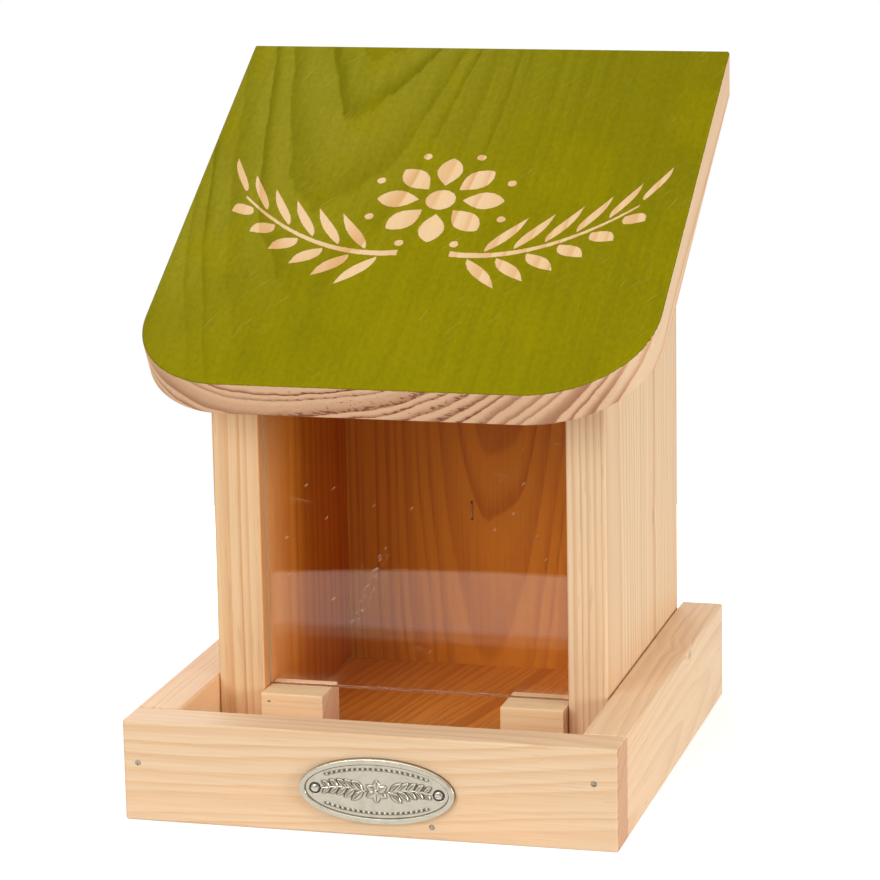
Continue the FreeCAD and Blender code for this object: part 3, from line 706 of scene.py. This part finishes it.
def ovalPlate():
    look = plateLook
    low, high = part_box("oval_plate")
    centreX, centreZ = (low.x + high.x) / 2 / mm, (low.z + high.z) / 2 / mm
    long, tall = (high.x - low.x) / 2 / mm, (high.z - low.z) / 2 / mm
    angle = np.linspace(0, 2 * np.pi, look["around"], endpoint=False)
    rimInset = np.linspace(look["rimWidth"] + 2 * look["innerSlope"], 0, look["rimRings"])
    # rim height at an inset d: up the inner slope, flat on top, down a quarter round at the edge
    inner = np.clip((look["rimWidth"] + look["innerSlope"] - rimInset) / look["innerSlope"], 0, 1)
    outer = np.clip(1 - rimInset / look["edgeRound"], 0, 1)
    rimHeight = look["base"] + look["rim"] * inner * inner * (3 - 2 * inner)
    rimHeight = rimHeight - look["edgeRound"] * (1 - np.sqrt(1 - outer * outer))
    share = np.linspace(0, 1, look["fieldRings"] + 1)[1:-1]
    field = share.size
    backShare = np.array((1, *look["backRings"]))
    lengths = np.concatenate(((long - rimInset[0]) * share, long - rimInset, long * backShare))
    heights = np.concatenate(((tall - rimInset[0]) * share, tall - rimInset, tall * backShare))
    rises = np.concatenate((np.full(field, look["base"]), rimHeight, np.zeros(backShare.size)))
    x = lengths[:, None] * np.cos(angle)
    z = heights[:, None] * np.sin(angle)
    rise = np.broadcast_to(rises[:, None], x.shape).copy()
    rise[:field] += plateRelief(x[:field], z[:field], long, tall)
    rings = np.stack((centreX + x, high.y / mm - rise, centreZ + z), -1) * mm
    button = look["base"] + look["buttonRise"] * look["relief"]
    front = np.array((centreX, high.y / mm - button, centreZ)) * mm
    back = np.array((centreX, high.y / mm, centreZ)) * mm
    piece = closedRings("ovalPlateCast", rings, front, back)
    # darker where the face lies lower than the mean of what is round it: partly dirt, partly painted shade in
    # the hollows
    mean = rise
    for _ in range(look["dirtShadeSpread"]):
        mean = (mean + np.roll(mean, 1, 1) + np.roll(mean, -1, 1)) / 3
        mean[1:-1] = (mean[2:] + mean[1:-1] + mean[:-2]) / 3
    dirtAndShade = np.clip((mean - rise) / look["dirtShadeDepth"], 0, 1)
    dirtAndShade = np.concatenate((dirtAndShade.ravel(), [0, 0]))
    attribute = piece.data.attributes.new("dirtAndShade", "FLOAT", "POINT")
    attribute.data.foreach_set("value", dirtAndShade.astype(np.float32))
    return piece


def castMetal():
    f, look = material("cast_metal"), plateLook
    place = f.coordinate("Object")
    # the hollows darker: partly dirt, partly painted shade
    dirtAndShade = f.node("Attribute", {"attribute_name": "dirtAndShade"}, {}, "Fac")
    cloud = f.noise(place, look["cloudScale"], 3.0)
    sand = f.noise(place, look["sandScale"], 2.0)
    dull = dirtAndShade * look["dirtShadeShare"] + f.step(cloud, *look["cloudRange"]) * look["cloudShare"]
    rough = look["roughness"] + (cloud - 0.5) * look["cloudRoughness"] + dirtAndShade * look["dirtRoughness"]
    return f.surface({
        "Base Color": f.blend(dull, look["metal"], look["dull"]), "Metallic": 1.0, "Roughness": rough,
        "Normal": f.bump(sand + cloud * look["cloudRise"], look["bumpDepth"], look["bumpStrength"])})


platePiece = ovalPlate()
platePiece.data.materials.append(castMetal())
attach(platePiece, "house")
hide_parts("oval_plate")

pinLook = {"dome": 0.45, "head": 0.9, "shank": 0.85, "point": 2.5, "tip": 0.05, "around": 48, "domeRings": 14}


def platePins():
    # each pin is a profile turned about its own axis: a domed head, a shank and a point
    look = pinLook
    low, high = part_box("plate_pins")
    headRadius, depth = (high.z - low.z) / 2, high.y - low.y
    turn = np.linspace(0, 2 * np.pi, look["around"], endpoint=False)
    lift = np.linspace(0, np.pi / 2, look["domeRings"] + 1)[1:]
    shank, head = look["shank"] * mm, look["head"] * mm
    radius = np.concatenate((headRadius * np.sin(lift), [headRadius, shank, shank, look["tip"] * mm]))
    inwards = np.concatenate((
        look["dome"] * mm * (1 - np.cos(lift)), [head, head, depth - look["point"] * mm, depth]))
    pieces = []
    for label, x in (("Left", low.x + headRadius), ("Right", high.x - headRadius)):
        z = (low.z + high.z) / 2
        rings = np.stack((
            x + radius[:, None] * np.cos(turn),
            low.y + np.broadcast_to(inwards[:, None], (radius.size, turn.size)),
            z + radius[:, None] * np.sin(turn)), -1)
        pieces.append(closedRings("platePin" + label, rings, (x, low.y, z), (x, high.y, z)))
    return pieces


pinSteel = steel("pin")
for pinPiece in platePins():
    pinPiece.data.materials.append(pinSteel)
    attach(pinPiece, "house")
    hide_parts("plate_pins")
print("plate cast and pinned")


# Stage, in metres: a round white table, a dark room in front of it that only mirrors show, and soft light

stageLook = {
    "table": {"centre": (-0.025, 0.038), "radius": 0.326, "height": -0.0001, "around": 128,
              "colour": (0.86, 0.86, 0.86, 1), "glow": 0.4, "fade": (0.09, 0.29),
              "rim": (0.225, 0.262), "rimReflection": (0.56, 0.39, 0.15, 1)},
    "room": {"at": -1.9, "half": 2.4, "low": -1.6, "high": 0.7, "colour": (0.02, 0.02, 0.02, 1)},
    "worldLight": 0.39,
    "aim": (0, 0, 0.1),
    "lamps": {
        "overhead": {"place": (0.08, -0.35, 1.7), "size": 1.5, "tall": 1.5, "watts": 10.65},
        "right": {"place": (1.45, -0.57, 0.3), "size": 0.3, "tall": 0.55, "watts": 9.9},
        "front": {"place": (-0.44, -1.08, 0.56), "size": 0.55, "tall": 0.6, "watts": 5.4},
        "back": {"place": (-0.75, 1.25, 0.45), "size": 0.8, "tall": 0.6, "watts": 6.5},
    },
}


def stageSheet(name, corners, finish):
    mesh = bpy.data.meshes.new(name)
    mesh.from_pydata(corners, [], [tuple(range(len(corners)))])
    mesh.materials.append(finish)
    sheet = bpy.data.objects.new(name, mesh)
    bpy.context.scene.collection.objects.link(sheet)
    return sheet


def straightLook(f):
    # 1 for the camera, mirrors and glass, 0 for light that only shines on things
    camera = f.rayKind("Is Camera Ray")
    return camera.use("MAXIMUM", f.rayKind("Is Glossy Ray")).use("MAXIMUM", f.rayKind("Is Transmission Ray"))


def tableFinish(look):
    f = material("table_white")
    centre = (*look["centre"], 0)
    far = f.node("VectorMath", {"operation": "DISTANCE"}, {0: f.coordinate("Object"), 1: centre}, 1)
    away = f.step(far, *look["fade"]) * f.rayKind("Is Camera Ray")  # into the white round it
    level = straightLook(f) * look["glow"] + away
    rim = f.step(far, *look["rim"]) * f.rayKind("Is Glossy Ray")    # painted reflection: mirrors see a warm glow on its rim
    glow = f.node("Emission", {}, {"Color": f.blend(rim, f.join(level, level, level), look["rimReflection"])})
    cloth = f.node("BsdfDiffuse", {}, {"Color": look["colour"]})
    f.node("OutputMaterial", {}, {"Surface": f.node("AddShader", {}, {0: cloth, 1: glow})})
    return f.owner


def roomFinish(look):
    f = material("room_dark")  # light that has met the wood passes through it
    dark = f.node("BsdfDiffuse", {}, {"Color": look["colour"]})
    clear = f.node("BsdfTransparent", {}, {})
    shader = f.node("MixShader", {}, {0: f.rayKind("Diffuse Depth").use("MINIMUM", 1.0), 1: dark, 2: clear})
    f.node("OutputMaterial", {}, {"Surface": shader})
    return f.owner


def setStage():
    table, room = stageLook["table"], stageLook["room"]
    turn = np.linspace(0, 2 * np.pi, table["around"], endpoint=False)
    corners = np.stack((
        table["centre"][0] + table["radius"] * np.cos(turn),
        table["centre"][1] + table["radius"] * np.sin(turn),
        np.full(turn.size, table["height"])), -1)
    stageSheet("table", corners.tolist(), tableFinish(table))
    at, half, low, high = room["at"], room["half"], room["low"], room["high"]
    corners = [(-half, at, low), (-half, at, high), (half, at, high), (half, at, low)]
    wall = stageSheet("room", corners, roomFinish(room))
    wall.visible_camera = wall.visible_diffuse = wall.visible_shadow = False
    world = Finish(bpy.data.worlds.new("studio"))
    strength = stageLook["worldLight"] + straightLook(world) * (1 - stageLook["worldLight"])
    background = world.node("Background", {}, {"Color": (1, 1, 1, 1), "Strength": strength})
    world.node("OutputWorld", {}, {"Surface": background})
    bpy.context.scene.world = world.owner
    for name, look in stageLook["lamps"].items():
        lamp = bpy.data.lights.new(name, "AREA")
        lamp.shape = "RECTANGLE"
        lamp.size = look["size"]
        lamp.size_y = look["tall"]
        lamp.energy = look["watts"]
        holder = bpy.data.objects.new(name, lamp)
        holder.location = look["place"]
        aim = Vector(stageLook["aim"]) - holder.location
        holder.rotation_euler = aim.to_track_quat("-Z", "Y").to_euler()
        bpy.context.scene.collection.objects.link(holder)


setStage()
print("stage lit")


# Camera, fitted to the photograph's edges

cameraLook = {
    "place": (0.30596, -1.1248, 0.36843),
    "turn": math.radians(15.1), "pitch": math.radians(-12.61), "roll": math.radians(-1.05),
    "focalPixels": 3640.84, "imagePixels": 880, "sensor": 36.0, "clip": (0.05, 50.0),
}


def setCamera():
    look = cameraLook
    turn, pitch, roll = look["turn"], look["pitch"], look["roll"]
    ahead = Vector((-math.sin(turn) * math.cos(pitch), math.cos(turn) * math.cos(pitch), math.sin(pitch)))
    level = Vector((math.cos(turn), math.sin(turn), 0))
    upright = level.cross(ahead)
    right = level * math.cos(roll) + upright * math.sin(roll)
    up = upright * math.cos(roll) - level * math.sin(roll)
    data = bpy.data.cameras.new("camera")
    data.sensor_width = look["sensor"]
    data.lens = look["sensor"] * look["focalPixels"] / look["imagePixels"]
    data.clip_start, data.clip_end = look["clip"]
    camera = bpy.data.objects.new("camera", data)
    axes = Matrix((right, up, -ahead)).transposed().to_4x4()
    camera.matrix_world = Matrix.Translation(look["place"]) @ axes
    bpy.context.scene.collection.objects.link(camera)
    bpy.context.scene.camera = camera


setCamera()
bpy.context.scene.view_settings.view_transform = "Standard"
print("camera set")
